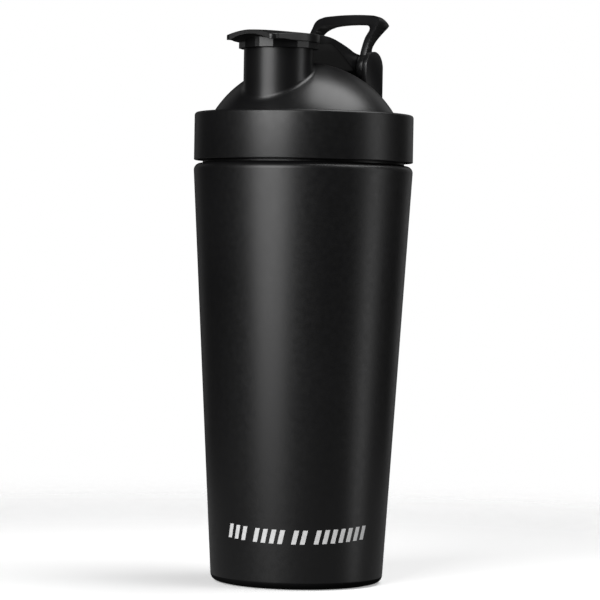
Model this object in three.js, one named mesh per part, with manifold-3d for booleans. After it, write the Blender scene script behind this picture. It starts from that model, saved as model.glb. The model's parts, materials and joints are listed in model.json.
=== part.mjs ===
// A protein shaker bottle: a double-walled steel cup, a screw-on domed lid with a round
// spout, a flip cap with a soft plug, a carry loop on the cap's hinge pin and a loose
// wire whisk ball.
//
// Units are millimetres and +Z is up. The origin is the middle of the face that the
// bottle rests on. The spout lies towards -X and the hinge pin lies along Y.
import * as THREE from 'three';
import { mergeVertices } from 'three/addons/utils/BufferGeometryUtils.js';
import Module from 'manifold-3d';

const wasm = await Module();
wasm.setup();

// ---- Driving dimensions ----
const GAP = 0.3; // space between pieces that touch
const ROUND = 40; // sides of the large turned pieces
const STEEL = 0.5; // sheet thickness of both cup walls

const FOOT_RADIUS = 35.4; // outer wall, just above the rounded foot
const FOOT_ROUNDING = 3;
const PAD_HEIGHT = 0.4; // how far the pad stands below the steel
const RIM_RADIUS = 45; // outer wall at the shoulder, and the lid's band
const SHOULDER_Z = 168.7;
const SHOULDER_ROUNDING = 2.8;
const NECK_RADIUS = 41.4;
const NECK_TOP = 187.7;
const LINER_FLOOR = 6.5;
const LINER_CORNER = 8;
const LINER_FOOT_RADIUS = 31.6;

const BAND_BOTTOM = 172.8;
const BAND_TOP = 192.3;
const BAND_SHEET = 0.6;
const BAND_INNER_EDGE = 38.2;
const SKIRT_OUTER = 44.1;
const SKIRT_INNER = 42.9;
const CEILING_Z = 190; // underside of the lid's flat ring, above the gasket
const COLLAR_INNER = 36.4; // the collar that reaches down inside the cup's mouth
const COLLAR_OUTER = 38.4;
const COLLAR_BOTTOM = 184;
const DOME_RADIUS = 43.5;
const DOME_CENTRE_Z = 170;
const DOME_WALL = 1.8;
const THREAD_PITCH = 4;
const THREAD_TURNS = 1;
const NECK_THREAD_Z = 175.5; // where the cup's thread starts
const LID_THREAD_Z = 177.5;

const SPOUT_X = -20.3;
const SPOUT_OUTER = 14.1;
const SPOUT_BORE = 11.6;
const SPOUT_RIM_Z = 220.6;

const HINGE_X = 26.5;
const HINGE_Z = 212.6;
const PIN_RADIUS = 1.5;
const PIN_HOLE = PIN_RADIUS + GAP;
const EAR_INNER = 15.4;
const EAR_OUTER = 17.6;
const EAR_RADIUS = 6.75;
const LEG_INNER = 12.3;
const LEG_OUTER = 15.1;
const EYE_RADIUS = 6.2;
const KNUCKLE_HALF_WIDTH = 12;
const KNUCKLE_RADIUS = 5.2;

const CAP_SKIRT_RADIUS = 16.2;
const CAP_SKIRT_BORE = 14.4;
const CAP_SKIRT_BOTTOM = 217.6;
const CAP_EDGE_BOTTOM = 220.5; // lower edge of the plate outside the skirt
const CAP_UNDERSIDE = 221.4; // ceiling over the spout
const CAP_CROWN_Z = 224.5; // highest line of the plate, which falls off to both sides
const CAP_CROWN_RADIUS = 110;
const CAP_BOSS_RADIUS = 4;
const CAP_BOSS_BOTTOM = 218.4;
const NARROW_FLATS = [0, 54, 110, 166, 194, 250, 306]; // degrees round the cap's skirt
const NARROW_FLAT_WIDTH = 20.5;
const TAB_TIP_X = -42.4;
const TAB_HALF_WIDTH = 11.8;
const TAB_THICKNESS = 2;
const TAB_DROP = 2.3; // how far the tab's arch falls from its middle to its edges
const TAB_CORNER = 2;

const LOOP_TOP = 235.9; // middle of the top bar
const LOOP_BOW = 1; // how far the top bar's ends lie below its middle
const LOOP_SPLAY = 0.8; // how much further apart the legs are at the top
const LOOP_CORNER = 3;
const LOOP_OPENING_TOP = 231.8;
const LOOP_OPENING_CORNER = 2.6;
const BELOW_HINGE_Z = 200; // cutting shapes reach down to here
const BALL_RADIUS = 24;
const BALL_WIRE = 1;
const BALL_TURNS = 7;

// ---- Helpers ----
function arc(centreX, centreY, radius, fromDegrees, toDegrees, steps) {
  return Array.from({ length: steps + 1 }, (_, step) => {
    const degrees = fromDegrees + ((toDegrees - fromDegrees) * step) / steps;
    const angle = THREE.MathUtils.degToRad(degrees);
    return [centreX + radius * Math.cos(angle), centreY + radius * Math.sin(angle)];
  });
}

// A smooth curve through a few points, as the list of points that draws it.
function smooth(points, steps) {
  const curve = new THREE.SplineCurve(points.map(([x, y]) => new THREE.Vector2(x, y)));
  return curve.getPoints(steps).map((point) => [point.x, point.y]);
}

function shapeOf(outline) {
  return new THREE.Shape(outline.map(([x, y]) => new THREE.Vector2(x, y)));
}

// Turns an outline of [radius, height] points about Z. An outline that doesn't start and
// end on the axis is closed on itself.
function turned(outline, sides = ROUND) {
  const points = outline.map(([radius, height]) => new THREE.Vector2(radius, height));
  if (outline[0][0] > 0) {
    points.push(points[0].clone());
  }
  return new THREE.LatheGeometry(points, sides).rotateX(Math.PI / 2);
}

// Straight prisms of an outline, along each of the three axes.
function prismAlongZ(outline, bottom, top) {
  const geometry = new THREE.ExtrudeGeometry(shapeOf(outline), {
    depth: top - bottom,
    bevelEnabled: false,
  });
  return geometry.translate(0, 0, bottom);
}

function prismAlongY(outline, from, to) {
  const geometry = prismAlongZ(outline, -to, -from);
  return geometry.rotateX(Math.PI / 2);
}

function prismAlongX(outline, from, to) {
  const turnToX = new THREE.Matrix4().makeBasis(
    new THREE.Vector3(0, 1, 0),
    new THREE.Vector3(0, 0, 1),
    new THREE.Vector3(1, 0, 0),
  );
  return prismAlongZ(outline, from, to).applyMatrix4(turnToX);
}

function uprightCylinder(x, radius, bottom, top, sides) {
  return prismAlongZ(arc(x, 0, radius, 0, 360 - 360 / sides, sides - 1), bottom, top);
}

function hingeCylinder(radius, from, to, sides) {
  const circle = arc(HINGE_X, HINGE_Z, radius, 0, 360 - 360 / sides, sides - 1);
  return prismAlongY(circle, from, to);
}

function rod(path, radius, sides, steps) {
  const section = shapeOf(arc(0, 0, radius, 0, 360 - 360 / sides, sides - 1));
  return new THREE.ExtrudeGeometry(section, { extrudePath: path, steps, bevelEnabled: false });
}

function solid(geometry) {
  const bare = geometry.clone();
  bare.deleteAttribute('normal');
  bare.deleteAttribute('uv');
  const merged = mergeVertices(bare, 1e-5);
  const mesh = new wasm.Mesh({
    numProp: 3,
    vertProperties: new Float32Array(merged.attributes.position.array),
    triVerts: new Uint32Array(merged.index.array),
  });
  return new wasm.Manifold(mesh);
}

function geometryOf(manifold) {
  const mesh = manifold.getMesh();
  const geometry = new THREE.BufferGeometry();
  geometry.setAttribute('position', new THREE.BufferAttribute(mesh.vertProperties, 3));
  geometry.setIndex(new THREE.BufferAttribute(mesh.triVerts, 1));
  geometry.computeVertexNormals();
  return geometry;
}

function union(...geometries) {
  return geometries.map(solid).reduce((whole, next) => whole.add(next));
}

class Helix extends THREE.Curve {
  constructor(radius, bottom, startDegrees) {
    super();
    this.radius = radius;
    this.bottom = bottom;
    this.start = THREE.MathUtils.degToRad(startDegrees);
  }

  getPoint(t) {
    const angle = this.start + 2 * Math.PI * THREAD_TURNS * t;
    return new THREE.Vector3(
      this.radius * Math.cos(angle),
      this.radius * Math.sin(angle),
      this.bottom + THREAD_PITCH * THREAD_TURNS * t,
    );
  }
}

function threadBead(radius, beadRadius, bottom, startDegrees) {
  return rod(new Helix(radius, bottom, startDegrees), beadRadius, 5, 27);
}

// ---- Cup ----
function makeOuterShell() {
  const footX = FOOT_RADIUS - FOOT_ROUNDING;
  const footZ = PAD_HEIGHT + FOOT_ROUNDING;
  const lip = footX - 0.6;
  const shoulderX = RIM_RADIUS - SHOULDER_ROUNDING;
  const shoulderTop = SHOULDER_Z + SHOULDER_ROUNDING;
  const outline = [
    [lip, PAD_HEIGHT],
    ...arc(footX, footZ, FOOT_ROUNDING, -90, 0, 3),
    ...arc(shoulderX, SHOULDER_Z, SHOULDER_ROUNDING, 0, 90, 3),
    [NECK_RADIUS, shoulderTop],
    [NECK_RADIUS, NECK_TOP],
    [NECK_RADIUS - STEEL, NECK_TOP],
    [NECK_RADIUS - STEEL, shoulderTop - STEEL],
    ...arc(shoulderX, SHOULDER_Z, SHOULDER_ROUNDING - STEEL, 90, 0, 3),
    ...arc(footX, footZ, FOOT_ROUNDING - STEEL, 0, -90, 3),
    [lip, PAD_HEIGHT + STEEL],
  ];
  return geometryOf(union(turned(outline), threadBead(NECK_RADIUS + 0.1, 0.45, NECK_THREAD_Z, 0)));
}

function makeInnerLiner() {
  const mouth = NECK_RADIUS - STEEL - GAP;
  const cornerX = LINER_FOOT_RADIUS - LINER_CORNER;
  const cornerZ = LINER_FLOOR + LINER_CORNER;
  const lipBottom = NECK_TOP + GAP;
  return turned([
    [0, LINER_FLOOR],
    ...arc(cornerX, cornerZ, LINER_CORNER, -90, 0, 4),
    [mouth, SHOULDER_Z],
    [mouth, lipBottom],
    [NECK_RADIUS, lipBottom],
    [NECK_RADIUS, lipBottom + STEEL],
    [mouth - STEEL, lipBottom + STEEL],
    [mouth - STEEL, SHOULDER_Z],
    ...arc(cornerX, cornerZ, LINER_CORNER - STEEL, 0, -90, 4),
    [0, LINER_FLOOR + STEEL],
  ]);
}

function makeBaseDisc() {
  const edge = 33.2;
  const low = 1.9;
  const high = 2.8;
  return turned([
    [0, high],
    [13, high],
    [16, low],
    [edge, low],
    [edge, low + STEEL],
    [16, low + STEEL],
    [13, high + STEEL],
    [0, high + STEEL],
  ]);
}

function makeBasePad() {
  const edge = FOOT_RADIUS - FOOT_ROUNDING - 0.6 - GAP;
  const top = 1.6;
  const grooveDepth = 0.5;
  return turned([
    [0, 0],
    [21, 0],
    [21.4, grooveDepth],
    [22.6, grooveDepth],
    [23, 0],
    [edge - 0.4, 0],
    [edge, 0.4],
    [edge, top],
    [0, top],
  ]);
}

// ---- Lid ----
function makeLidBand() {
  const edge = 0.4;
  const hem = RIM_RADIUS - 1.6;
  const inside = RIM_RADIUS - BAND_SHEET;
  return turned([
    [hem, BAND_BOTTOM],
    ...arc(RIM_RADIUS - edge, BAND_BOTTOM + edge, edge, -90, 0, 2),
    ...arc(RIM_RADIUS - edge, BAND_TOP - edge, edge, 0, 90, 2),
    [BAND_INNER_EDGE, BAND_TOP],
    [BAND_INNER_EDGE, BAND_TOP - BAND_SHEET],
    [inside, BAND_TOP - BAND_SHEET],
    [inside, BAND_BOTTOM + BAND_SHEET],
    [hem, BAND_BOTTOM + BAND_SHEET],
  ]);
}

// The angle at which a circle about the dome's centre is `distance` from the axis.
function domeDegrees(radius, distance) {
  return THREE.MathUtils.radToDeg(Math.acos(distance / radius));
}

function domeDegreesAtHeight(radius, height) {
  return THREE.MathUtils.radToDeg(Math.asin((height - DOME_CENTRE_Z) / radius));
}

function makeLidShell() {
  const innerDome = DOME_RADIUS - DOME_WALL;
  const ringTop = BAND_TOP - BAND_SHEET - GAP;
  const skirtBottom = BAND_BOTTOM + 1.2;
  const innerEnd = domeDegrees(innerDome, COLLAR_INNER);
  const outerStart = domeDegreesAtHeight(DOME_RADIUS, ringTop);
  const outline = [
    [0, DOME_CENTRE_Z + innerDome],
    ...arc(0, DOME_CENTRE_Z, innerDome, 90, innerEnd, 6).slice(1),
    [COLLAR_INNER, COLLAR_BOTTOM],
    [COLLAR_OUTER, COLLAR_BOTTOM],
    [COLLAR_OUTER, CEILING_Z],
    [SKIRT_INNER, CEILING_Z],
    [SKIRT_INNER, skirtBottom],
    [SKIRT_OUTER, skirtBottom],
    [SKIRT_OUTER, ringTop],
    ...arc(0, DOME_CENTRE_Z, DOME_RADIUS, outerStart, 90, 8).slice(0, -1),
    [0, DOME_CENTRE_Z + DOME_RADIUS],
  ];
  const earFoot = ringTop - 0.4;
  const earOutline = [
    [HINGE_X + EAR_RADIUS, earFoot],
    ...arc(HINGE_X, HINGE_Z, EAR_RADIUS, 0, 180, 12),
    [HINGE_X - EAR_RADIUS, earFoot],
  ];
  const spout = uprightCylinder(SPOUT_X, SPOUT_OUTER, BAND_TOP + 4, SPOUT_RIM_Z, 32);
  const domeRoom = new THREE.SphereGeometry(innerDome + 0.4, 40, 24);
  domeRoom.translate(0, 0, DOME_CENTRE_Z);
  const outside = union(
    prismAlongY(earOutline, EAR_INNER, EAR_OUTER),
    prismAlongY(earOutline, -EAR_OUTER, -EAR_INNER),
    spout,
  ).subtract(solid(domeRoom));
  const bore = uprightCylinder(SPOUT_X, SPOUT_BORE, COLLAR_BOTTOM, SPOUT_RIM_Z + 1, 32);
  const pinEnd = EAR_OUTER - 0.7;
  const shell = union(turned(outline), threadBead(SKIRT_INNER, 0.5, LID_THREAD_Z, 0))
    .add(outside)
    .subtract(solid(bore))
    .subtract(solid(hingeCylinder(PIN_HOLE, -pinEnd, pinEnd, 16)));
  return geometryOf(shell);
}

function makeLidGasket() {
  const inner = 38.8;
  const outer = SKIRT_INNER - GAP;
  const bottom = NECK_TOP + STEEL + 2 * GAP;
  const top = CEILING_Z - GAP;
  return turned([
    [inner, bottom],
    [outer, bottom],
    [outer, top],
    [inner, top],
  ]);
}

function makeHingePin() {
  const end = EAR_OUTER - 0.7 - GAP;
  return hingeCylinder(PIN_RADIUS, -end, end, 16);
}

// ---- Flip cap ----
// The plate seen from above: a thumb tab, the round head, and an arm to the hinge.
function capPlan() {
  const side = [
    [HINGE_X + KNUCKLE_RADIUS + 1, KNUCKLE_HALF_WIDTH],
    [4, KNUCKLE_HALF_WIDTH],
    [-4, KNUCKLE_HALF_WIDTH + 0.6],
    ...arc(SPOUT_X, 0, CAP_SKIRT_RADIUS, 55, 118, 7),
    ...arc(TAB_TIP_X + TAB_CORNER, TAB_HALF_WIDTH - TAB_CORNER, TAB_CORNER, 80, 180, 4),
  ];
  const mirrored = side.map(([x, y]) => [x, -y]).reverse();
  return [...side, ...mirrored];
}

// The plate and arm seen from the side.
function capTopLine() {
  return smooth(
    [
      [TAB_TIP_X - 0.5, 223.9],
      [-36, 224.35],
      [-29, 224.45],
      [SPOUT_X, 224.3],
      [-9, 224],
      [1, 223.5],
      [8, 222.1],
      [14.3, 220.4],
      [20, 218.6],
      [HINGE_X, HINGE_Z + KNUCKLE_RADIUS],
    ],
    27,
  );
}

function capArmUnderside() {
  return smooth(
    [
      [HINGE_X - 1, HINGE_Z - KNUCKLE_RADIUS],
      [21.8, 209.8],
      [17, 212.7],
      [9.6, 217],
      [4.8, 219.4],
      [0, 220.8],
      [-6, CAP_EDGE_BOTTOM + 0.5],
      [-10, CAP_EDGE_BOTTOM],
    ],
    14,
  );
}

// A block along X whose top is an arch over the cap's width.
function crownedBlock(crown, radius, reach) {
  const spread = THREE.MathUtils.radToDeg(Math.asin(reach / radius));
  const section = [
    ...arc(0, crown - radius, radius, 90 - spread, 90 + spread, 10),
    [-reach, BELOW_HINGE_Z],
    [reach, BELOW_HINGE_Z],
  ];
  return prismAlongX(section, TAB_TIP_X - 1, HINGE_X + KNUCKLE_RADIUS + 2);
}

// The tab is a thin arch across its width, open to the thumb from below.
function tabArch() {
  const reach = TAB_HALF_WIDTH + 3;
  const radius = (TAB_HALF_WIDTH ** 2 + TAB_DROP ** 2) / (2 * TAB_DROP);
  const spread = THREE.MathUtils.radToDeg(Math.asin(reach / radius));
  const centre = CAP_CROWN_Z - radius;
  const section = [
    ...arc(0, centre, radius, 90 - spread, 90 + spread, 10),
    ...arc(0, centre, radius - TAB_THICKNESS, 90 + spread, 90 - spread, 10),
  ];
  return prismAlongX(section, TAB_TIP_X - 1, SPOUT_X - 8);
}

function makeCapPlate() {
  const width = CAP_SKIRT_RADIUS + 1;
  const top = capTopLine();
  const headFront = SPOUT_X - CAP_SKIRT_RADIUS + 1;
  const headAndArm = prismAlongY([
    [headFront, CAP_EDGE_BOTTOM],
    ...top.filter(([x]) => x > headFront),
    ...capArmUnderside(),
  ].reverse(), -width, width);
  const belowTop = prismAlongY([
    [TAB_TIP_X - 0.5, BELOW_HINGE_Z],
    [HINGE_X + 8, BELOW_HINGE_Z],
    [HINGE_X + 8, HINGE_Z + KNUCKLE_RADIUS],
    ...top.reverse(),
  ], -width, width);
  return union(headAndArm, tabArch())
    .intersect(solid(prismAlongZ(capPlan(), BELOW_HINGE_Z, CAP_CROWN_Z + 1)))
    .intersect(solid(belowTop))
    .intersect(solid(crownedBlock(CAP_CROWN_Z, CAP_CROWN_RADIUS, width)));
}

// The skirt's outside has narrow flats with wider ones between them.
function capSkirtOutline() {
  const half = NARROW_FLAT_WIDTH / 2;
  return NARROW_FLATS.flatMap((middle) => {
    return arc(SPOUT_X, 0, CAP_SKIRT_RADIUS, middle - half, middle + half, 1);
  });
}

function makeFlipCap() {
  const skirt = prismAlongZ(capSkirtOutline(), CAP_SKIRT_BOTTOM, CAP_UNDERSIDE);
  const skirtBore = uprightCylinder(
    SPOUT_X, CAP_SKIRT_BORE, CAP_SKIRT_BOTTOM - 1, CAP_UNDERSIDE, 32,
  );
  const boss = uprightCylinder(
    SPOUT_X, CAP_BOSS_RADIUS, CAP_BOSS_BOTTOM, CAP_UNDERSIDE + 0.2, 20,
  );
  const knuckle = hingeCylinder(
    KNUCKLE_RADIUS, -KNUCKLE_HALF_WIDTH, KNUCKLE_HALF_WIDTH, 28,
  );
  const pinHole = hingeCylinder(PIN_HOLE, -LEG_OUTER, LEG_OUTER, 16);
  const cap = makeCapPlate()
    .add(solid(skirt))
    .subtract(solid(skirtBore))
    .add(solid(boss))
    .add(solid(knuckle))
    .subtract(solid(pinHole));
  return geometryOf(cap);
}

function makeSpoutPlug() {
  const socket = CAP_BOSS_RADIUS + GAP;
  const top = CAP_UNDERSIDE - GAP;
  const tip = SPOUT_RIM_Z - 3.8;
  const widest = SPOUT_BORE - 0.7;
  const plug = turned([
    [0, tip],
    [widest - 1.3, tip],
    [widest - 0.6, tip + 0.8],
    [widest, tip + 2.6],
    [widest, top],
    [socket, top],
    [socket, CAP_BOSS_BOTTOM - GAP],
    [0, CAP_BOSS_BOTTOM - GAP],
  ], 24);
  return plug.translate(SPOUT_X, 0, 0);
}

// ---- Carry loop ----
// A band that rises from the pin and bends back; its window leaves a bar at the top.
function loopSide() {
  return [
    ...smooth([[29.6, 214], [28.1, 219.7], [30.4, 223.4], [35, 227], [39.8, 230.2]], 8),
    [40.8, 231.2],
    [35, LOOP_TOP - 0.2],
    [34.4, LOOP_TOP],
    [33.6, LOOP_TOP - 1.3],
    ...smooth([[33, 233.4], [31.2, 231], [28.2, 227.6], [26, 224.7], [23.7, 219.5],
      [22.4, 215]], 9),
  ];
}

// A frame's outline seen along X: legs that splay a little, rounded corners and a bowed top.
function stirrup(halfWidth, top, corner) {
  const wide = halfWidth + LOOP_SPLAY;
  const shoulder = top - LOOP_BOW - corner;
  const right = [
    [halfWidth, BELOW_HINGE_Z],
    [halfWidth, 219],
    [halfWidth + LOOP_SPLAY / 2, 225.5],
    ...arc(wide - corner, shoulder, corner, 0, 80, 4),
    [0.7 * wide, top - LOOP_BOW / 2],
    [0.35 * wide, top - LOOP_BOW / 8],
  ];
  const left = right.map(([y, z]) => [-y, z]).reverse();
  return [...right, ...left];
}

function makeCarryLoop() {
  const far = HINGE_X + 30;
  const wide = LEG_OUTER + LOOP_SPLAY;
  const outside = stirrup(LEG_OUTER, LOOP_TOP, LOOP_CORNER);
  const window = stirrup(LEG_INNER, LOOP_OPENING_TOP, LOOP_OPENING_CORNER);
  const eyes = union(
    hingeCylinder(EYE_RADIUS, LEG_INNER, LEG_OUTER, 28),
    hingeCylinder(EYE_RADIUS, -LEG_OUTER, -LEG_INNER, 28),
  );
  const loop = solid(prismAlongY(loopSide(), -wide, wide))
    .intersect(solid(prismAlongX(outside, 0, far)))
    .add(eyes)
    .subtract(solid(prismAlongX(window, 0, far)))
    .subtract(solid(hingeCylinder(PIN_HOLE, -wide, wide, 16)));
  return geometryOf(loop);
}

// ---- Whisk ball ----
// One springy wire wound round and round a sphere from near one pole to the other.
class BallWinding extends THREE.Curve {
  getPoint(t) {
    const fromPole = Math.PI * (0.1 + 0.8 * t);
    const around = 2 * Math.PI * BALL_TURNS * t;
    const radius = BALL_RADIUS - BALL_WIRE;
    return new THREE.Vector3(
      radius * Math.sin(fromPole) * Math.cos(around),
      radius * Math.sin(fromPole) * Math.sin(around),
      radius * Math.cos(fromPole),
    );
  }
}

function makeWhiskBall() {
  return rod(new BallWinding(), BALL_WIRE, 5, 112);
}

// ---- Assembly ----
function material(color, roughness, metalness) {
  return new THREE.MeshStandardMaterial({ color, roughness, metalness });
}

function piece(name, geometry, finish) {
  const mesh = new THREE.Mesh(geometry, finish);
  mesh.name = name;
  return mesh;
}

const powderCoat = material(0x141415, 0.55, 0.3);
const bareSteel = material(0xb4b6b8, 0.35, 1);
const blackPlastic = material(0x121213, 0.35, 0);
const blackRubber = material(0x1a1a1a, 0.8, 0);
const greySilicone = material(0x5a5c5e, 0.7, 0);

const cup = new THREE.Group();
cup.add(
  piece('outer_shell', makeOuterShell(), powderCoat),
  piece('inner_liner', makeInnerLiner(), bareSteel),
  piece('base_disc', makeBaseDisc(), bareSteel),
  piece('base_pad', makeBasePad(), blackRubber),
);

const lid = new THREE.Group();
lid.add(
  piece('lid_band', makeLidBand(), powderCoat),
  piece('lid_shell', makeLidShell(), blackPlastic),
  piece('lid_gasket', makeLidGasket(), greySilicone),
  piece('hinge_pin', makeHingePin(), bareSteel),
  piece('flip_cap', makeFlipCap(), blackPlastic),
  piece('spout_plug', makeSpoutPlug(), greySilicone),
  piece('carry_loop', makeCarryLoop(), blackPlastic),
);

const whiskBall = piece('whisk_ball', makeWhiskBall(), bareSteel);
whiskBall.rotation.x = Math.PI / 2;
whiskBall.position.z = LINER_FLOOR + STEEL + GAP + BALL_RADIUS;

const group = new THREE.Group();
group.add(cup, lid, whiskBall);

export default group;
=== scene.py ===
import json
import math

import bmesh
import bpy
from mathutils import Matrix, Quaternion, Vector


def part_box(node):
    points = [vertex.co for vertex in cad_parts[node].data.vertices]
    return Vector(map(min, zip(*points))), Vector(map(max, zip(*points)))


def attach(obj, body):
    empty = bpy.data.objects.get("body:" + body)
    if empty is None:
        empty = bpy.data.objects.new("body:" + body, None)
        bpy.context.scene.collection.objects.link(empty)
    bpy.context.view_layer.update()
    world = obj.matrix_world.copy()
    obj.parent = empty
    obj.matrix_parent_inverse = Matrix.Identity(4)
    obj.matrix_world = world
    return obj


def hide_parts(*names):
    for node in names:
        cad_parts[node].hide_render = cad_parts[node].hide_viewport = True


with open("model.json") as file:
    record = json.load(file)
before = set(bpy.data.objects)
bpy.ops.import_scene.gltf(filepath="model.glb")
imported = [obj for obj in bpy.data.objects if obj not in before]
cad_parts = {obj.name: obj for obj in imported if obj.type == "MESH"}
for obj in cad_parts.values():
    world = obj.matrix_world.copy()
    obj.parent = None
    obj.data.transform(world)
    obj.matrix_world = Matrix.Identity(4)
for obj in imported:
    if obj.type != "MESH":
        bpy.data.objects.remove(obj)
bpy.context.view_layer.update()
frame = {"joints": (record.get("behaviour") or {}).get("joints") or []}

# Lengths below are millimetres, as on a drawing, and are turned into metres by MM.
MM = 0.001
ROUND = 192


# ---------------------------------------------------------------- places from the frame
def node_box(node):
    """A CAD node's lowest and highest corners in millimetres."""
    low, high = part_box(node)
    return low / MM, high / MM


shell_low, shell_high = node_box("outer_shell")
liner_low, liner_high = node_box("inner_liner")
disc_low, disc_high = node_box("base_disc")
pad_high = node_box("base_pad")[1]
band_low, band_high = node_box("lid_band")
lid_low = node_box("lid_shell")[0]
gasket_low, gasket_high = node_box("lid_gasket")
pin_low, pin_high = node_box("hinge_pin")
cap_low = node_box("flip_cap")[0]
plug_low, plug_high = node_box("spout_plug")
loop_high = node_box("carry_loop")[1]
ball_low, ball_high = node_box("whisk_ball")

joints = {joint["name"]: joint for joint in frame["joints"]}
hinge = Vector(joints["cap_flip"]["pos_m"]) / MM

RIM_RADIUS = band_high.x
GAP = 0.3  # space between pieces that touch
STEEL = 0.5  # sheet thickness of both cup walls
BAND_SHEET = 0.6
FOOT_Z = shell_low.z
FOOT_RADIUS = 35.4
FOOT_ROUNDING = 3
SHOULDER_Z = 168.7
SHOULDER_ROUNDING = 2.8
NECK_RADIUS = gasket_high.x - 1.2
NECK_TOP = shell_high.z
DOME_RADIUS = 43.5
DOME_CENTRE_Z = 170
DOME_WALL = 1.8
LID_SKIRT_INNER = 42.9
NECK_THREAD_Z = 175.5  # where the cup's thread starts
LID_THREAD_Z = 177.5
THREAD_PITCH = 4
SPOUT_X = (plug_low.x + plug_high.x) / 2
SPOUT_OUTER = 14.1
SPOUT_BORE = 11.6
SPOUT_RIM_Z = 220.6
EAR_INNER = 15.4
EAR_OUTER = 17.6
EAR_RADIUS = 6.75
LEG_OUTER = 15.1
LEG_INNER = 12.3
EYE_RADIUS = 6.2
KNUCKLE_HALF_WIDTH = 12
KNUCKLE_RADIUS = 5.2
PIN_RADIUS = 1.5
PIN_HOLE = PIN_RADIUS + GAP
SKIRT_RADIUS = 16.2
SKIRT_BORE = 14.4
SKIRT_BOTTOM = 217.6
CAP_EDGE_BOTTOM = 220.1
CAP_UNDERSIDE = 221.4
TAB_TIP_X = cap_low.x
TAB_HALF_WIDTH = 12
TAB_THICKNESS = 1.6
TAB_CORNER = 2.8
VIEW_ANGLE = 32  # the camera stands this far round from the spout, towards -Y


# ---------------------------------------------------------------- outlines
def arc(centre_x, centre_y, radius, start, end, steps):
    """Points on an arc, with its angles in degrees."""
    angles = [math.radians(start + (end - start) * i / steps) for i in range(steps + 1)]
    return [(centre_x + radius * math.cos(a), centre_y + radius * math.sin(a)) for a in angles]


def spline(points, steps):
    """A Catmull-Rom curve through the points, with `steps` pieces in each gap."""
    padded = [points[0]] + list(points) + [points[-1]]
    curve = []
    for i in range(1, len(padded) - 2):
        p0, p1, p2, p3 = (Vector(p) for p in padded[i - 1:i + 3])
        for step in range(steps):
            t = step / steps
            curve.append(0.5 * (
                2 * p1 + (p2 - p0) * t
                + (2 * p0 - 5 * p1 + 4 * p2 - p3) * t ** 2
                + (3 * p1 - p0 - 3 * p2 + p3) * t ** 3
            ))
    curve.append(Vector(points[-1]))
    return [tuple(point) for point in curve]


def value_at(line, x):
    """The height of a drawn line at x, for a line whose x rises all the way."""
    for (x0, y0), (x1, y1) in zip(line, line[1:]):
        if x <= x1:
            share = max(0, (x - x0) / (x1 - x0))
            return y0 + (y1 - y0) * share
    return line[-1][1]


def smoothstep(low, high, value):
    t = min(1, max(0, (value - low) / (high - low)))
    return t * t * (3 - 2 * t)


# ---------------------------------------------------------------- meshes
def mesh_object(name, points, faces):
    """An object from points in millimetres, with its faces turned outwards."""
    mesh = bpy.data.meshes.new(name)
    mesh.from_pydata([Vector(p) * MM for p in points], [], faces)
    solid = bmesh.new()
    solid.from_mesh(mesh)
    bmesh.ops.remove_doubles(solid, verts=solid.verts, dist=1e-7)
    bmesh.ops.recalc_face_normals(solid, faces=solid.faces)
    solid.to_mesh(mesh)
    solid.free()
    piece = bpy.data.objects.new(name, mesh)
    bpy.context.scene.collection.objects.link(piece)
    return piece


def rings_object(name, rings, closed):
    """Skins a list of equal rings of points. A closed skin joins its last ring to its
    first, and an open one gets a face over each end."""
    count = len(rings[0])
    points = [p for ring in rings for p in ring]
    faces = []
    for i in range(len(rings) if closed else len(rings) - 1):
        a = i * count
        b = (i + 1) % len(rings) * count
        for j in range(count):
            k = (j + 1) % count
            faces.append((a + j, a + k, b + k, b + j))
    if not closed:
        faces.append(tuple(range(count)))
        faces.append(tuple(range(len(points) - count, len(points))))
    return mesh_object(name, points, faces)


def turned(name, outline, sides=ROUND, centre=(0, 0)):
    """Turns an outline of (radius, height) about an upright axis. An outline that starts
    on the axis also ends there."""
    on_axis = outline[0][0] == 0
    profile = outline[1:-1] if on_axis else outline
    rings = []
    for i in range(sides):
        angle = 2 * math.pi * i / sides
        cos, sin = math.cos(angle), math.sin(angle)
        rings.append([(centre[0] + r * cos, centre[1] + r * sin, z) for r, z in profile])
    count = len(profile)
    points = [p for ring in rings for p in ring]
    faces = []
    for i in range(sides):
        a = i * count
        b = (i + 1) % sides * count
        for j in range(count - 1 if on_axis else count):
            k = (j + 1) % count
            faces.append((a + j, b + j, b + k, a + k))
    if on_axis:
        for end, j in ((outline[0], 0), (outline[-1], count - 1)):
            points.append((centre[0], centre[1], end[1]))
            for i in range(sides):
                faces.append((i * count + j, (i + 1) % sides * count + j, len(points) - 1))
    return mesh_object(name, points, faces)


def prism(name, outline, axis, low, high):
    """A straight prism of an outline along x, y or z."""
    place = {
        "x": lambda u, v, w: (w, u, v),
        "y": lambda u, v, w: (u, w, v),
        "z": lambda u, v, w: (u, v, w),
    }[axis]
    rings = [[place(u, v, w) for u, v in outline] for w in (low, high)]
    return rings_object(name, rings, closed=False)


def barrel(name, radius, low, high, edge, sides=64):
    """A cylinder on the hinge line with rounded edges."""
    outline = [
        (0, low),
        *arc(radius - edge, low + edge, edge, -90, 0, 4),
        *arc(radius - edge, high - edge, edge, 0, 90, 4),
        (0, high),
    ]
    piece = turned(name, outline, sides)
    turn = Matrix.Rotation(math.radians(-90), 4, "X")
    piece.data.transform(Matrix.Translation(Vector((hinge.x, 0, hinge.z)) * MM) @ turn)
    return piece


def apply_modifiers(piece):
    graph = bpy.context.evaluated_depsgraph_get()
    result = bpy.data.meshes.new_from_object(piece.evaluated_get(graph))
    piece.modifiers.clear()
    piece.data = result
    return piece


def combine(piece, other, operation):
    """A boolean with another solid, which is used up."""
    modifier = piece.modifiers.new("combine", "BOOLEAN")
    modifier.operation = operation
    modifier.object = other
    modifier.solver = "EXACT"
    apply_modifiers(piece)
    bpy.data.objects.remove(other)
    return piece


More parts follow.
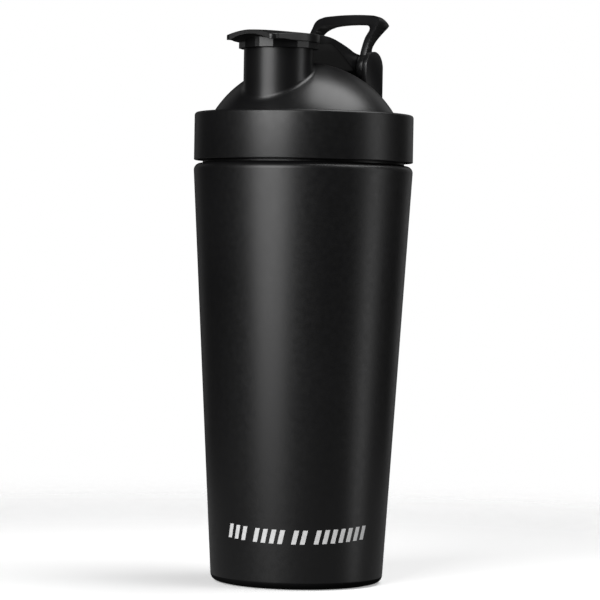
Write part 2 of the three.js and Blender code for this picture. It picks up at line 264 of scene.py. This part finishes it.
def round_edges(piece, width, segments=3, angle=35):
    """Rounds every edge sharper than the angle."""
    modifier = piece.modifiers.new("round", "BEVEL")
    modifier.width = width * MM
    modifier.segments = segments
    modifier.limit_method = "ANGLE"
    modifier.angle_limit = math.radians(angle)
    modifier.use_clamp_overlap = True
    modifier.harden_normals = True
    return apply_modifiers(piece)


def shade(piece, angle=35):
    piece.data.shade_smooth()
    piece.data.set_sharp_from_angle(angle=math.radians(angle))
    return piece


def join(name, pieces):
    """One object from several closed bodies that belong to one moulding."""
    whole = bmesh.new()
    for piece in pieces:
        whole.from_mesh(piece.data)
    mesh = bpy.data.meshes.new(name)
    whole.to_mesh(mesh)
    whole.free()
    for piece in pieces:
        bpy.data.objects.remove(piece)
    joined = bpy.data.objects.new(name, mesh)
    bpy.context.scene.collection.objects.link(joined)
    return joined


def wire(name, route, radius, sides=10):
    """A round wire along a list of points, with blunt ends."""
    rings = []
    up = Vector((0, 0, 1))
    for i, point in enumerate(route):
        before = route[max(0, i - 1)]
        after = route[min(len(route) - 1, i + 1)]
        along = (after - before).normalized()
        side = along.cross(up).normalized()
        up = side.cross(along).normalized()
        ring = []
        for j in range(sides):
            angle = 2 * math.pi * j / sides
            ring.append(point + (side * math.cos(angle) + up * math.sin(angle)) * radius)
        rings.append(ring)
    first = [route[0] + (p - route[0]) * 0.5 for p in rings[0]]
    last = [route[-1] + (p - route[-1]) * 0.5 for p in rings[-1]]
    lead = (route[0] - route[1]).normalized() * radius * 0.7
    tail = (route[-1] - route[-2]).normalized() * radius * 0.7
    rings = [[p + lead for p in first]] + rings + [[p + tail for p in last]]
    return rings_object(name, rings, closed=False)


# ---------------------------------------------------------------- materials
def new_material(name, color, roughness, metallic=0.0):
    material = bpy.data.materials.new(name)
    material.use_nodes = True
    shader = material.node_tree.nodes["Principled BSDF"]
    shader.inputs["Base Color"].default_value = (*color, 1)
    shader.inputs["Roughness"].default_value = roughness
    shader.inputs["Metallic"].default_value = metallic
    return material, material.node_tree, shader


def noise(tree, scale, detail, stretch=(1, 1, 1)):
    """Noise in the object's own metres, so that its grain has a real size."""
    place = tree.nodes.new("ShaderNodeTexCoord")
    mapping = tree.nodes.new("ShaderNodeMapping")
    mapping.inputs["Scale"].default_value = stretch
    texture = tree.nodes.new("ShaderNodeTexNoise")
    texture.inputs["Scale"].default_value = scale
    texture.inputs["Detail"].default_value = detail
    tree.links.new(place.outputs["Object"], mapping.inputs["Vector"])
    tree.links.new(mapping.outputs["Vector"], texture.inputs["Vector"])
    return texture


def vary(tree, texture, socket, low, high):
    """Drives a shader's number between two values with a texture."""
    spread = tree.nodes.new("ShaderNodeMapRange")
    spread.inputs["From Min"].default_value = 0.3
    spread.inputs["From Max"].default_value = 0.7
    spread.inputs["To Min"].default_value = low
    spread.inputs["To Max"].default_value = high
    tree.links.new(texture.outputs["Fac"], spread.inputs["Value"])
    tree.links.new(spread.outputs["Result"], socket)


def tint(tree, texture, socket, dark, light):
    """Drives a shader's colour between two colours with a texture."""
    ramp = tree.nodes.new("ShaderNodeValToRGB")
    ramp.color_ramp.elements[0].position = 0.3
    ramp.color_ramp.elements[0].color = (*dark, 1)
    ramp.color_ramp.elements[1].position = 0.7
    ramp.color_ramp.elements[1].color = (*light, 1)
    tree.links.new(texture.outputs["Fac"], ramp.inputs["Fac"])
    tree.links.new(ramp.outputs["Color"], socket)


def bump(tree, shader, layers):
    """Adds up bump layers of (texture, strength, depth in millimetres)."""
    last = None
    for texture, strength, depth in layers:
        node = tree.nodes.new("ShaderNodeBump")
        node.inputs["Strength"].default_value = strength
        node.inputs["Distance"].default_value = depth * MM
        tree.links.new(texture.outputs["Fac"], node.inputs["Height"])
        if last:
            tree.links.new(last.outputs["Normal"], node.inputs["Normal"])
        last = node
    tree.links.new(last.outputs["Normal"], shader.inputs["Normal"])


def powder_coat():
    """Satin black powder coat: an even dark film with a fine, soft orange-peel grain."""
    material, tree, shader = new_material("powder_coat", (0.006, 0.006, 0.0064), 0.37)
    shader.inputs["Specular IOR Level"].default_value = 0.5
    cloud = noise(tree, 22, 3)
    grain = noise(tree, 1500, 2)
    peel = noise(tree, 420, 3)
    tint(tree, cloud, shader.inputs["Base Color"], (0.0050, 0.0050, 0.0053),
         (0.0070, 0.0070, 0.0074))
    vary(tree, peel, shader.inputs["Roughness"], 0.34, 0.40)
    bump(tree, shader, [(peel, 0.25, 0.03), (grain, 0.3, 0.02)])
    return material


def satin_plastic():
    """Black moulded plastic with a soft gloss, a little flow mottling and fine spark grain."""
    material, tree, shader = new_material("satin_plastic", (0.008, 0.008, 0.0085), 0.3)
    shader.inputs["Specular IOR Level"].default_value = 0.5
    flow = noise(tree, 60, 3, (1, 1, 0.4))
    grain = noise(tree, 2200, 2)
    tint(tree, flow, shader.inputs["Base Color"], (0.0050, 0.0050, 0.0053),
         (0.0075, 0.0075, 0.0079))
    vary(tree, flow, shader.inputs["Roughness"], 0.30, 0.38)
    bump(tree, shader, [(grain, 0.15, 0.012), (flow, 0.2, 0.05)])
    return material


def soft_rubber(name, dark, light):
    """Moulded rubber or silicone: matt, with a faint dusty mottling."""
    material, tree, shader = new_material(name, light, 0.7)
    dust = noise(tree, 140, 4)
    grain = noise(tree, 1800, 2)
    tint(tree, dust, shader.inputs["Base Color"], dark, light)
    vary(tree, dust, shader.inputs["Roughness"], 0.62, 0.8)
    bump(tree, shader, [(grain, 0.35, 0.03)])
    return material


def brushed_steel():
    """Stainless steel with brushing round the cup's axis."""
    material, tree, shader = new_material("brushed_steel", (0.6, 0.6, 0.61), 0.3, 1.0)
    lines = noise(tree, 30, 4, (1, 1, 60))
    tint(tree, lines, shader.inputs["Base Color"], (0.52, 0.52, 0.53), (0.66, 0.66, 0.67))
    vary(tree, lines, shader.inputs["Roughness"], 0.22, 0.38)
    bump(tree, shader, [(lines, 0.2, 0.01)])
    return material


def print_ink():
    """White screen-print ink, slightly uneven where it lies on the grain."""
    material, tree, shader = new_material("print_ink", (0.85, 0.85, 0.85), 0.5)
    speckle = noise(tree, 900, 3)
    tint(tree, speckle, shader.inputs["Base Color"], (0.78, 0.78, 0.78), (0.9, 0.9, 0.9))
    vary(tree, speckle, shader.inputs["Roughness"], 0.45, 0.6)
    return material


coat = powder_coat()
plastic = satin_plastic()
rubber = soft_rubber("pad_rubber", (0.012, 0.012, 0.012), (0.022, 0.022, 0.022))
silicone = soft_rubber("seal_silicone", (0.10, 0.10, 0.105), (0.15, 0.15, 0.155))
steel = brushed_steel()
ink = print_ink()


def finish_piece(piece, material, body, node):
    """Gives a piece its look and its body, and hides the CAD node that it stands for."""
    piece.data.materials.clear()
    piece.data.materials.append(material)
    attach(piece, body)
    if node:
        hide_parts(node)
    return piece


# ---------------------------------------------------------------- camera, floor and lights
def across(degrees, distance, height):
    """A place at an angle round the bottle from the camera, positive to the camera's
    right, in metres."""
    angle = math.radians(180 + VIEW_ANGLE + degrees)
    return Vector((math.cos(angle) * distance, math.sin(angle) * distance, height))


def aim(thing, target):
    towards = Vector(target) - thing.location
    thing.rotation_mode = "QUATERNION"
    thing.rotation_quaternion = towards.to_track_quat("-Z", "Y")


def make_camera():
    data = bpy.data.cameras.new("camera")
    data.sensor_width = 36
    data.lens = 175
    camera = bpy.data.objects.new("camera", data)
    bpy.context.scene.collection.objects.link(camera)
    distance = 1.2
    height = 0.1338
    aim_height = 0.1159
    aim_beside = -0.0004
    roll = 1.0
    camera.location = across(0, distance, height)
    aim(camera, across(90, aim_beside, aim_height))
    camera.rotation_quaternion @= Quaternion((0, 0, 1), math.radians(roll))
    bpy.context.scene.camera = camera


def make_light(name, place, target, size, power):
    data = bpy.data.lights.new(name, "AREA")
    data.shape = "RECTANGLE"
    data.size, data.size_y = size
    data.energy = power
    light = bpy.data.objects.new(name, data)
    bpy.context.scene.collection.objects.link(light)
    light.location = place
    aim(light, target)
    light.visible_camera = False


def make_floor():
    """A pale round sheet whose rim fades away into the white surroundings."""
    reach = 600
    floor = turned("floor", [(0, -2), (reach, -2), (reach, 0), (0, 0)], 96)
    material, tree, shader = new_material("floor_paper", (0.9, 0.9, 0.9), 0.9)
    shader.inputs["Specular IOR Level"].default_value = 0.1
    shader.inputs["Emission Color"].default_value = (1, 1, 1, 1)
    shader.inputs["Emission Strength"].default_value = 0.35
    paper = noise(tree, 6, 2)
    tint(tree, paper, shader.inputs["Base Color"], (0.89, 0.89, 0.89), (0.91, 0.91, 0.91))
    place = tree.nodes.new("ShaderNodeTexCoord")
    distance = tree.nodes.new("ShaderNodeVectorMath")
    distance.operation = "LENGTH"
    fade = tree.nodes.new("ShaderNodeMapRange")
    fade.interpolation_type = "SMOOTHSTEP"
    fade.inputs["From Min"].default_value = 0.15
    fade.inputs["From Max"].default_value = 0.58
    fade.inputs["To Min"].default_value = 1.0
    fade.inputs["To Max"].default_value = 0.0
    tree.links.new(place.outputs["Object"], distance.inputs[0])
    tree.links.new(distance.outputs["Value"], fade.inputs["Value"])
    tree.links.new(fade.outputs["Result"], shader.inputs["Alpha"])
    floor.data.materials.append(material)
    floor.visible_glossy = False
    floor.visible_diffuse = False


def make_world():
    """White where the camera looks past the bottle, and a dim room for everything else."""
    world = bpy.data.worlds.new("studio")
    bpy.context.scene.world = world
    world.use_nodes = True
    tree = world.node_tree
    background = tree.nodes["Background"]
    background.inputs["Color"].default_value = (1, 1, 1, 1)
    path = tree.nodes.new("ShaderNodeLightPath")
    level = tree.nodes.new("ShaderNodeMapRange")
    level.inputs["To Min"].default_value = 0.012
    level.inputs["To Max"].default_value = 1.0
    tree.links.new(path.outputs["Is Camera Ray"], level.inputs["Value"])
    tree.links.new(level.outputs["Result"], background.inputs["Strength"])
    bpy.context.scene.view_settings.view_transform = "Standard"


def make_studio():
    make_floor()
    make_world()
    low = Vector((0, 0, 0.1))
    middle = Vector((0, 0, 0.12))
    high = Vector((0, 0, 0.2))
    make_light("left_softbox", across(-34, 1.1, 0.59), middle, (0.82, 0.72), 12.5)
    make_light("left_low", across(-34, 1.1, 0.08), low, (0.6, 0.12), 1.3)
    make_light("right_strip", across(80, 1.0, 0.25), middle, (0.3, 0.9), 1.45)
    make_light("top_softbox", across(90, 0.5, 1.3), high, (0.9, 0.9), 12)
    make_light("back_left", across(-150, 1.2, 0.4), low, (0.5, 1.0), 0.2)
    make_light("back_right", across(150, 1.2, 0.4), low, (0.5, 1.0), 0.4)
    # What the pale floor throws back up.
    make_light("floor_glow", Vector((0, 0, 0.003)), Vector((0, 0, 1)), (0.7, 0.7), 0.25)
    # A faint glow between the dome and the cap's arm, where no other light reaches.
    gap = Vector((0.01, 0, 0.2126))
    make_light("arm_fill", gap, gap + Vector((0.23, 0, 0.97)), (0.022, 0.02), 0.00013)


make_camera()
make_studio()


# ---------------------------------------------------------------- cup
def cup_radius(z):
    """The outer wall's radius at a height on the straight taper."""
    low = FOOT_Z + FOOT_ROUNDING
    return FOOT_RADIUS + (RIM_RADIUS - FOOT_RADIUS) * (z - low) / (SHOULDER_Z - low)


def thread_bead(radius, bead, bottom):
    """One turn of a rounded thread that fades into the wall at both ends."""
    route = []
    steps = 180
    for i in range(steps + 1):
        turn = i / steps
        angle = 2 * math.pi * turn
        sink = bead * (1 - smoothstep(0, 0.06, min(turn, 1 - turn)))
        reach = radius - sink
        route.append(Vector((reach * math.cos(angle), reach * math.sin(angle),
                             bottom + THREAD_PITCH * turn)))
    return wire("thread", route, bead)


def make_outer_shell():
    foot_x = FOOT_RADIUS - FOOT_ROUNDING
    foot_z = FOOT_Z + FOOT_ROUNDING
    lip = foot_x - 0.6
    lip_edge = 0.15
    shoulder_x = RIM_RADIUS - SHOULDER_ROUNDING
    shoulder_top = SHOULDER_Z + SHOULDER_ROUNDING
    root = NECK_RADIUS
    fillet = 0.4
    wall = turned("wall", [
        (lip, FOOT_Z + lip_edge),
        (lip + lip_edge, FOOT_Z),
        *arc(foot_x, foot_z, FOOT_ROUNDING, -90, 0, 12),
        *arc(shoulder_x, SHOULDER_Z, SHOULDER_ROUNDING, 0, 90, 10),
        *arc(root + fillet, shoulder_top + fillet, fillet, -90, -180, 4),
        (root, NECK_TOP),
        (root - STEEL, NECK_TOP),
        (root - STEEL, shoulder_top - STEEL),
        *arc(shoulder_x, SHOULDER_Z, SHOULDER_ROUNDING - STEEL, 90, 0, 6),
        *arc(foot_x, foot_z, FOOT_ROUNDING - STEEL, 0, -90, 6),
        (lip, FOOT_Z + STEEL),
    ])
    shell = join("cup_shell", [wall, thread_bead(root + 0.1, 0.45, NECK_THREAD_Z)])
    finish_piece(shade(shell), coat, "cup", "outer_shell")


def make_inner_liner():
    mouth = liner_high.x - STEEL - GAP
    corner = 8
    corner_x = 31.6 - corner
    corner_z = liner_low.z + corner
    lip_low = liner_high.z - STEEL
    lip_edge = STEEL / 2
    liner = turned("cup_liner", [
        (0, liner_low.z),
        *arc(corner_x, corner_z, corner, -90, 0, 12),
        (mouth, SHOULDER_Z),
        (mouth, lip_low),
        (liner_high.x, lip_low),
        *arc(liner_high.x - lip_edge, lip_low + lip_edge, lip_edge, 0, 90, 4),
        *arc(mouth, lip_low, STEEL, 90, 180, 6),
        (mouth - STEEL, SHOULDER_Z),
        *arc(corner_x, corner_z, corner - STEEL, 0, -90, 12),
        (0, liner_low.z + STEEL),
    ])
    finish_piece(shade(liner), steel, "cup", "inner_liner")


def make_base_disc():
    edge = disc_high.x
    low = disc_low.z
    high = disc_high.z - STEEL
    dish = spline([(12, high), (13.5, high - 0.1), (15.5, low + 0.1), (17, low)], 5)
    disc = turned("cup_base_disc", [
        (0, high),
        *dish,
        (edge, low),
        (edge, low + STEEL),
        *[(r, z + STEEL) for r, z in reversed(dish)],
        (0, high + STEEL),
    ])
    finish_piece(shade(disc), steel, "cup", "base_disc")


def make_base_pad():
    edge = pad_high.x
    rounding = 0.5
    groove = 0.6
    land = 0.9
    grooves = []
    for radius in (12, 22, 27):
        grooves += [
            (radius - land, 0),
            *arc(radius, 0, groove, 180, 0, 8),
            (radius + land, 0),
        ]
    pad = turned("cup_pad", [
        (0, 0),
        *grooves,
        *arc(edge - rounding, rounding, rounding, -90, 0, 5),
        (edge, pad_high.z),
        (0, pad_high.z),
    ])
    finish_piece(shade(pad), rubber, "cup", "base_pad")


def bar_places():
    """Where each printed stroke stands along the row, in millimetres from its middle."""
    pitch = 3.5
    places = []
    along = 0
    for count in (3, 4, 2, 7):
        for _ in range(count):
            places.append(along)
            along += pitch
        along += 0.6 * pitch
    middle = places[-1] / 2
    return [place - middle for place in places]


def make_printed_bars():
    """Plain slanted strokes in four groups, printed near the foot on the camera's side.
    The row rises a little towards its ends."""
    stroke = 1.9
    bottom = 18.7
    height = 5.6
    rise = 1.4
    slant = 1.3
    film = 0.05
    rows = 3
    columns = 5
    places = bar_places()
    strokes = []
    for place in places:
        lift = rise * (place / places[-1]) ** 2
        rings = []
        for column in range(columns):
            edge = stroke * (column / (columns - 1) - 0.5)
            ring = []
            for row, out in [(r, film) for r in range(rows)] + [(r, -film) for r in (2, 1, 0)]:
                z = bottom + lift + height * row / (rows - 1)
                along = place + edge + slant * (row / (rows - 1) - 0.5)
                angle = math.radians(180 + VIEW_ANGLE) + along / cup_radius(bottom)
                radius = cup_radius(z) + out
                ring.append((radius * math.cos(angle), radius * math.sin(angle), z))
            rings.append(ring)
        strokes.append(rings_object("stroke", rings, closed=False))
    bars = join("printed_bars", [shade(piece) for piece in strokes])
    finish_piece(bars, ink, "cup", None)


# ---------------------------------------------------------------- lid
def dome_height(x, y, radius=DOME_RADIUS):
    return DOME_CENTRE_Z + math.sqrt(max(0, radius ** 2 - x ** 2 - y ** 2))


def make_lid_band():
    top_edge = 1.2
    bottom_edge = 0.35
    inner_edge = 0.2
    inner = 38.2
    low = band_low.z
    high = band_high.z
    hem = RIM_RADIUS - 1.6
    inside = RIM_RADIUS - BAND_SHEET
    band = turned("lid_sleeve", [
        (hem, low),
        *arc(RIM_RADIUS - bottom_edge, low + bottom_edge, bottom_edge, -90, 0, 6),
        *arc(RIM_RADIUS - top_edge, high - top_edge, top_edge, 0, 90, 8),
        *arc(inner + inner_edge, high - inner_edge, inner_edge, 90, 180, 3),
        (inner, high - BAND_SHEET),
        (inside, high - BAND_SHEET),
        (inside, low + BAND_SHEET),
        (hem, low + BAND_SHEET),
    ])
    finish_piece(shade(band), coat, "lid", "lid_band")


def make_dome():
    inner = DOME_RADIUS - DOME_WALL
    collar_inner = 36.4
    collar_outer = 38.4
    collar_bottom = 184
    ceiling = 190
    chamfer = 0.4
    ring_top = band_high.z - BAND_SHEET - GAP
    skirt_outer = 44.1
    skirt_bottom = lid_low.z
    inner_end = math.degrees(math.acos(collar_inner / inner))
    outer_start = math.degrees(math.asin((ring_top - DOME_CENTRE_Z) / DOME_RADIUS))
    dome = turned("dome", [
        (0, DOME_CENTRE_Z + inner),
        *arc(0, DOME_CENTRE_Z, inner, 90, inner_end, 24)[1:],
        (collar_inner, collar_bottom + chamfer),
        (collar_inner + chamfer, collar_bottom),
        (collar_outer - chamfer, collar_bottom),
        (collar_outer, collar_bottom + chamfer),
        (collar_outer, ceiling),
        (LID_SKIRT_INNER, ceiling),
        (LID_SKIRT_INNER, skirt_bottom),
        (skirt_outer, skirt_bottom),
        (skirt_outer, ring_top),
        *arc(0, DOME_CENTRE_Z, DOME_RADIUS, outer_start, 90, 40)[:-1],
        (0, DOME_CENTRE_Z + DOME_RADIUS),
    ])
    low = 180
    high = 218
    cutter = turned("cutter", [
        (0, low), (SPOUT_BORE, low), (SPOUT_BORE, high), (0, high),
    ], 96, (SPOUT_X, 0))
    return combine(dome, cutter, "DIFFERENCE")


def make_spout():
    """A tube whose foot runs out onto the dome in a small fillet."""
    fillet = 1.3
    inner_edge = 0.7
    outer_edge = 0.5
    sunk = 0.5  # how far the foot reaches into the dome's wall
    wall_steps = 6
    fillet_steps = 8
    rings = []
    sides = 128
    for i in range(sides):
        angle = 2 * math.pi * i / sides
        cos, sin = math.cos(angle), math.sin(angle)

        def at(radius, z):
            return (SPOUT_X + radius * cos, radius * sin, z)

        def dome_at(radius, depth=0.0):
            return dome_height(SPOUT_X + radius * cos, radius * sin, DOME_RADIUS - depth)

        column = [at(SPOUT_BORE, dome_at(SPOUT_BORE, DOME_WALL))]
        column.append(at(SPOUT_BORE, SPOUT_RIM_Z - inner_edge))
        rim = arc(SPOUT_BORE + inner_edge, SPOUT_RIM_Z - inner_edge, inner_edge, 180, 90, 5)
        rim += arc(SPOUT_OUTER - outer_edge, SPOUT_RIM_Z - outer_edge, outer_edge, 90, 0, 5)
        column += [at(r, z) for r, z in rim]
        foot = dome_at(SPOUT_OUTER) + fillet
        wall_top = SPOUT_RIM_Z - outer_edge
        for step in range(1, wall_steps):
            share = step / wall_steps
            column.append(at(SPOUT_OUTER, wall_top + (foot - wall_top) * share))
        for step in range(fillet_steps + 1):
            t = step / fillet_steps
            radius = SPOUT_OUTER + fillet * t * t
            column.append(at(radius, dome_at(radius) + fillet * (1 - t) ** 2 - 0.02 * t))
        column.append(at(SPOUT_OUTER + fillet, dome_at(SPOUT_OUTER + fillet) - sunk))
        column.append(at(SPOUT_OUTER - 1, dome_at(SPOUT_OUTER - 1, DOME_WALL - 0.4)))
        rings.append(column)
    return rings_object("spout", rings, closed=True)


def make_ear(side):
    foot = 193
    sunk = 0.5  # how far the ear reaches into the dome's wall
    rounding = 0.45
    outline = [
        (hinge.x + EAR_RADIUS, foot),
        *arc(hinge.x, hinge.z, EAR_RADIUS, 0, 180, 40),
        (hinge.x - EAR_RADIUS, foot),
    ]
    low, high = sorted((side * EAR_INNER, side * EAR_OUTER))
    ear = prism("ear", outline, "y", low, high)
    hollow = turned("hollow", [
        (0, 150),
        *arc(0, DOME_CENTRE_Z, DOME_RADIUS - sunk, -20, 90, 40)[:-1],
        (0, DOME_CENTRE_Z + DOME_RADIUS - sunk),
    ], 96)
    combine(ear, hollow, "DIFFERENCE")
    return round_edges(ear, rounding)


def make_lid_shell():
    thread = thread_bead(LID_SKIRT_INNER, 0.5, LID_THREAD_Z)
    lid = join("lid_moulding", [make_dome(), make_spout(), make_ear(1), make_ear(-1), thread])
    finish_piece(shade(lid), plastic, "lid", "lid_shell")


def make_gasket():
    inner = 38.8
    outer = gasket_high.x
    low = gasket_low.z
    high = gasket_high.z
    edge = 0.3
    gasket = turned("lid_seal_ring", [
        *arc(inner + edge, low + edge, edge, 180, 270, 4),
        *arc(outer - edge, low + edge, edge, -90, 0, 4),
        *arc(outer - edge, high - edge, edge, 0, 90, 4),
        *arc(inner + edge, high - edge, edge, 90, 180, 4),
    ])
    finish_piece(shade(gasket), silicone, "seal", "lid_gasket")


def make_pin():
    pin = barrel("pivot_pin", PIN_RADIUS, pin_low.y, pin_high.y, 0.3, 48)
    finish_piece(shade(pin), steel, "lid", "hinge_pin")


def pin_hole():
    """A cutter along the hinge line that reaches past both ears."""
    reach = 20
    return barrel("hole", PIN_HOLE, -reach, reach, 0.1, 48)


# ---------------------------------------------------------------- flip cap
CAP_TOP_LINE = spline([
    (TAB_TIP_X - 1, 223.9), (-36, 224.35), (-29, 224.45), (SPOUT_X, 224.3), (-9, 224),
    (1, 223.5), (8, 222.1), (14.3, 220.4), (20, 218.6), (hinge.x, hinge.z + KNUCKLE_RADIUS),
], 6)
CAP_ARM_UNDERSIDE = spline([
    (-10, CAP_EDGE_BOTTOM), (-6, CAP_EDGE_BOTTOM + 0.5), (0, 220.8), (4.8, 219.4),
    (9.6, 217), (17, 212.7), (21.8, 209.8), (hinge.x, hinge.z - KNUCKLE_RADIUS),
], 6)
# How far the cap's top falls from its middle to its edges.
CAP_CROWN = spline([
    (TAB_TIP_X - 1, 1.9), (-38, 1.8), (-32, 1.35), (-26, 1.05), (SPOUT_X, 0.85), (-10, 0.3),
    (0, 0.05), (hinge.x, 0),
], 4)


def cap_half_width(x):
    """Half the cap's width: rounded tab corners, the round head, then the arm."""
    corner = TAB_CORNER
    tab = TAB_HALF_WIDTH + max(0, x - TAB_TIP_X - corner) * 0.25
    if x < TAB_TIP_X + corner:
        tab -= corner - math.sqrt(max(0, corner ** 2 - (TAB_TIP_X + corner - x) ** 2))
    head = math.sqrt(max(0, (SKIRT_RADIUS + 0.25) ** 2 - (x - SPOUT_X) ** 2))
    arm = KNUCKLE_HALF_WIDTH + 1.6 * (1 - smoothstep(-12, 4, x))
    if x < SPOUT_X:
        return max(tab if x < SPOUT_X - 6 else 0, head)
    return max(arm, head)


def cap_heights(x, across_share):
    """The cap's top and underside at x, and at a share of the way out to its edge."""
    top = value_at(CAP_TOP_LINE, x) - value_at(CAP_CROWN, x) * across_share ** 2
    if x > -10:
        return top, value_at(CAP_ARM_UNDERSIDE, x)
    arch = 1 - smoothstep(-40.8, -31.5, x)
    thickness = TAB_THICKNESS + 0.5 * across_share ** 2
    return top, (top - thickness) * arch + CAP_EDGE_BOTTOM * (1 - arch)


def cap_section(x, shrink=0.0):
    """A ring round the cap at x, with rounded edges."""
    half = cap_half_width(x) - shrink
    edge = 0.3
    steps = 16
    shares = [-1 + 2 * i / steps for i in range(steps + 1)]
    reach = half - edge
    top, low = cap_heights(x, 1)
    top -= shrink
    low += shrink
    ring = [(x, reach * t, cap_heights(x, t)[0] - shrink) for t in shares]
    ring += [(x, y, z) for y, z in arc(reach, top - edge, edge, 60, 0, 2)]
    ring += [(x, y, z) for y, z in arc(reach, low + edge, edge, 0, -60, 2)]
    ring += [(x, -reach * t, cap_heights(x, t)[1] + shrink) for t in shares]
    ring += [(x, y, z) for y, z in arc(-reach, low + edge, edge, -120, -180, 2)]
    ring += [(x, y, z) for y, z in arc(-reach, top - edge, edge, 180, 120, 2)]
    return ring


def make_cap_plate():
    corner = TAB_CORNER
    stations = [TAB_TIP_X + corner * (1 - math.cos(math.radians(a))) for a in range(10, 91, 8)]
    x = stations[-1]
    while x < hinge.x - 0.6:
        x += 0.5
        stations.append(x)
    rings = [cap_section(stations[0], 0.25)]
    rings += [cap_section(x) for x in stations]
    return rings_object("plate", rings, closed=False)


def make_cap_skirt():
    """A short wall whose outside has narrow flats with wider ones between them."""
    half = 10.25
    outline = []
    for middle in (0, 54, 110, 166, 194, 250, 306):
        outline += arc(SPOUT_X, 0, SKIRT_RADIUS, middle - half, middle + half, 1)
    skirt = prism("skirt", outline, "z", SKIRT_BOTTOM, CAP_UNDERSIDE + 1.1)
    combine(skirt, skirt_bore(), "DIFFERENCE")
    return shade(round_edges(skirt, 0.12, 2, 15), 8)


def skirt_bore():
    return turned("bore", [
        (0, SKIRT_BOTTOM - 2), (SKIRT_BORE, SKIRT_BOTTOM - 2),
        (SKIRT_BORE, CAP_UNDERSIDE), (0, CAP_UNDERSIDE),
    ], 96, (SPOUT_X, 0))


def make_flip_cap():
    plate = make_cap_plate()
    combine(plate, skirt_bore(), "DIFFERENCE")
    knuckle = barrel("knuckle", KNUCKLE_RADIUS, -KNUCKLE_HALF_WIDTH, KNUCKLE_HALF_WIDTH, 0.5)
    combine(plate, knuckle, "UNION")
    combine(plate, pin_hole(), "DIFFERENCE")
    boss = turned("boss", [
        (0, 218.4), (3.7, 218.4), (4, 218.7), (4, CAP_UNDERSIDE + 0.5),
        (0, CAP_UNDERSIDE + 0.5),
    ], 48, (SPOUT_X, 0))
    cap = join("cap_moulding", [shade(plate), make_cap_skirt(), shade(boss)])
    finish_piece(cap, plastic, "cap", "flip_cap")


def make_plug():
    socket = 4.3
    low = plug_low.z
    high = plug_high.z
    floor_z = 218.1
    plug = turned("cap_plug", [
        (0, low + 0.5),
        *spline([(4, low + 0.5), (7.5, low + 0.3), (9, low), (9.8, low + 0.2)], 3),
        *spline([(10.2, 217.6), (10.7, 218.6), (10.5, 219.2), (10.9, 219.8)], 4),
        (10.9, high),
        (socket, high),
        (socket, floor_z),
        (0, floor_z),
    ], 96, (SPOUT_X, 0))
    finish_piece(shade(plug), silicone, "cap", "spout_plug")


# ---------------------------------------------------------------- carry loop
def stirrup(half_width, top, corner):
    """The outline of a frame seen along x: legs that splay a little, rounded corners and
    a bowed top."""
    splay = 0.8
    bow = 1.0
    wide = half_width + splay
    shoulder = top - bow - corner
    legs = [(half_width, 218), (half_width + 0.05, 220.5), (half_width + splay / 2, 225.5)]
    right = [
        (half_width, 200),
        *spline(legs + [(wide, shoulder)], 4),
        *arc(wide - corner, shoulder, corner, 0, 80, 8)[1:],
        *[(wide * t, top - bow * t * t) for t in (0.75, 0.6, 0.45, 0.3, 0.15)],
    ]
    return right + [(-y, z) for y, z in reversed(right)]


def make_carry_loop():
    top = loop_high.z
    wide = loop_high.y
    band = [
        *spline([(29.6, 214), (28.1, 219.7), (30.4, 223.4), (35, 227), (39.8, 230.2)], 6),
        (40.8, 231.2), (35.2, top - 0.3), (34.5, top), (33.9, top - 1.2),
        *spline([(33.2, 233.7), (31.2, 231), (28.2, 227.6), (26, 224.7), (23.7, 219.5),
                 (22.4, 215)], 6),
    ]
    loop = prism("carry_handle", band, "y", -wide - 1, wide + 1)
    outside = stirrup(LEG_OUTER, top, 3)
    combine(loop, prism("outside", outside, "x", 0, 60), "INTERSECT")
    window = stirrup(LEG_INNER, 231.8, 2.6)
    combine(loop, prism("window", window, "x", 0, 60), "DIFFERENCE")
    for low, high in ((LEG_INNER, LEG_OUTER), (-LEG_OUTER, -LEG_INNER)):
        circle = arc(hinge.x, hinge.z, EYE_RADIUS, 0, 355, 71)
        combine(loop, prism("eye", circle, "y", low, high), "UNION")
    combine(loop, pin_hole(), "DIFFERENCE")
    round_edges(loop, 0.4)
    finish_piece(shade(loop), plastic, "loop", "carry_loop")


# ---------------------------------------------------------------- whisk ball
def make_whisk():
    wire_radius = 1.0
    turns = 7
    centre = (ball_low + ball_high) / 2
    radius = (ball_high.z - ball_low.z) / 2 - wire_radius
    steps = 900
    route = []
    for i in range(steps + 1):
        t = i / steps
        from_pole = math.pi * (0.1 + 0.8 * t)
        around = 2 * math.pi * turns * t
        point = Vector((
            math.sin(from_pole) * math.cos(around),
            -math.cos(from_pole),
            math.sin(from_pole) * math.sin(around),
        ))
        route.append(point * radius + Vector((0, 0, centre.z)))
    finish_piece(shade(wire("whisk_wire", route, wire_radius)), steel, "whisk", "whisk_ball")


make_outer_shell()
make_inner_liner()
make_base_disc()
make_base_pad()
make_printed_bars()
make_lid_band()
make_lid_shell()
make_gasket()
make_pin()
make_flip_cap()
make_plug()
make_carry_loop()
make_whisk()
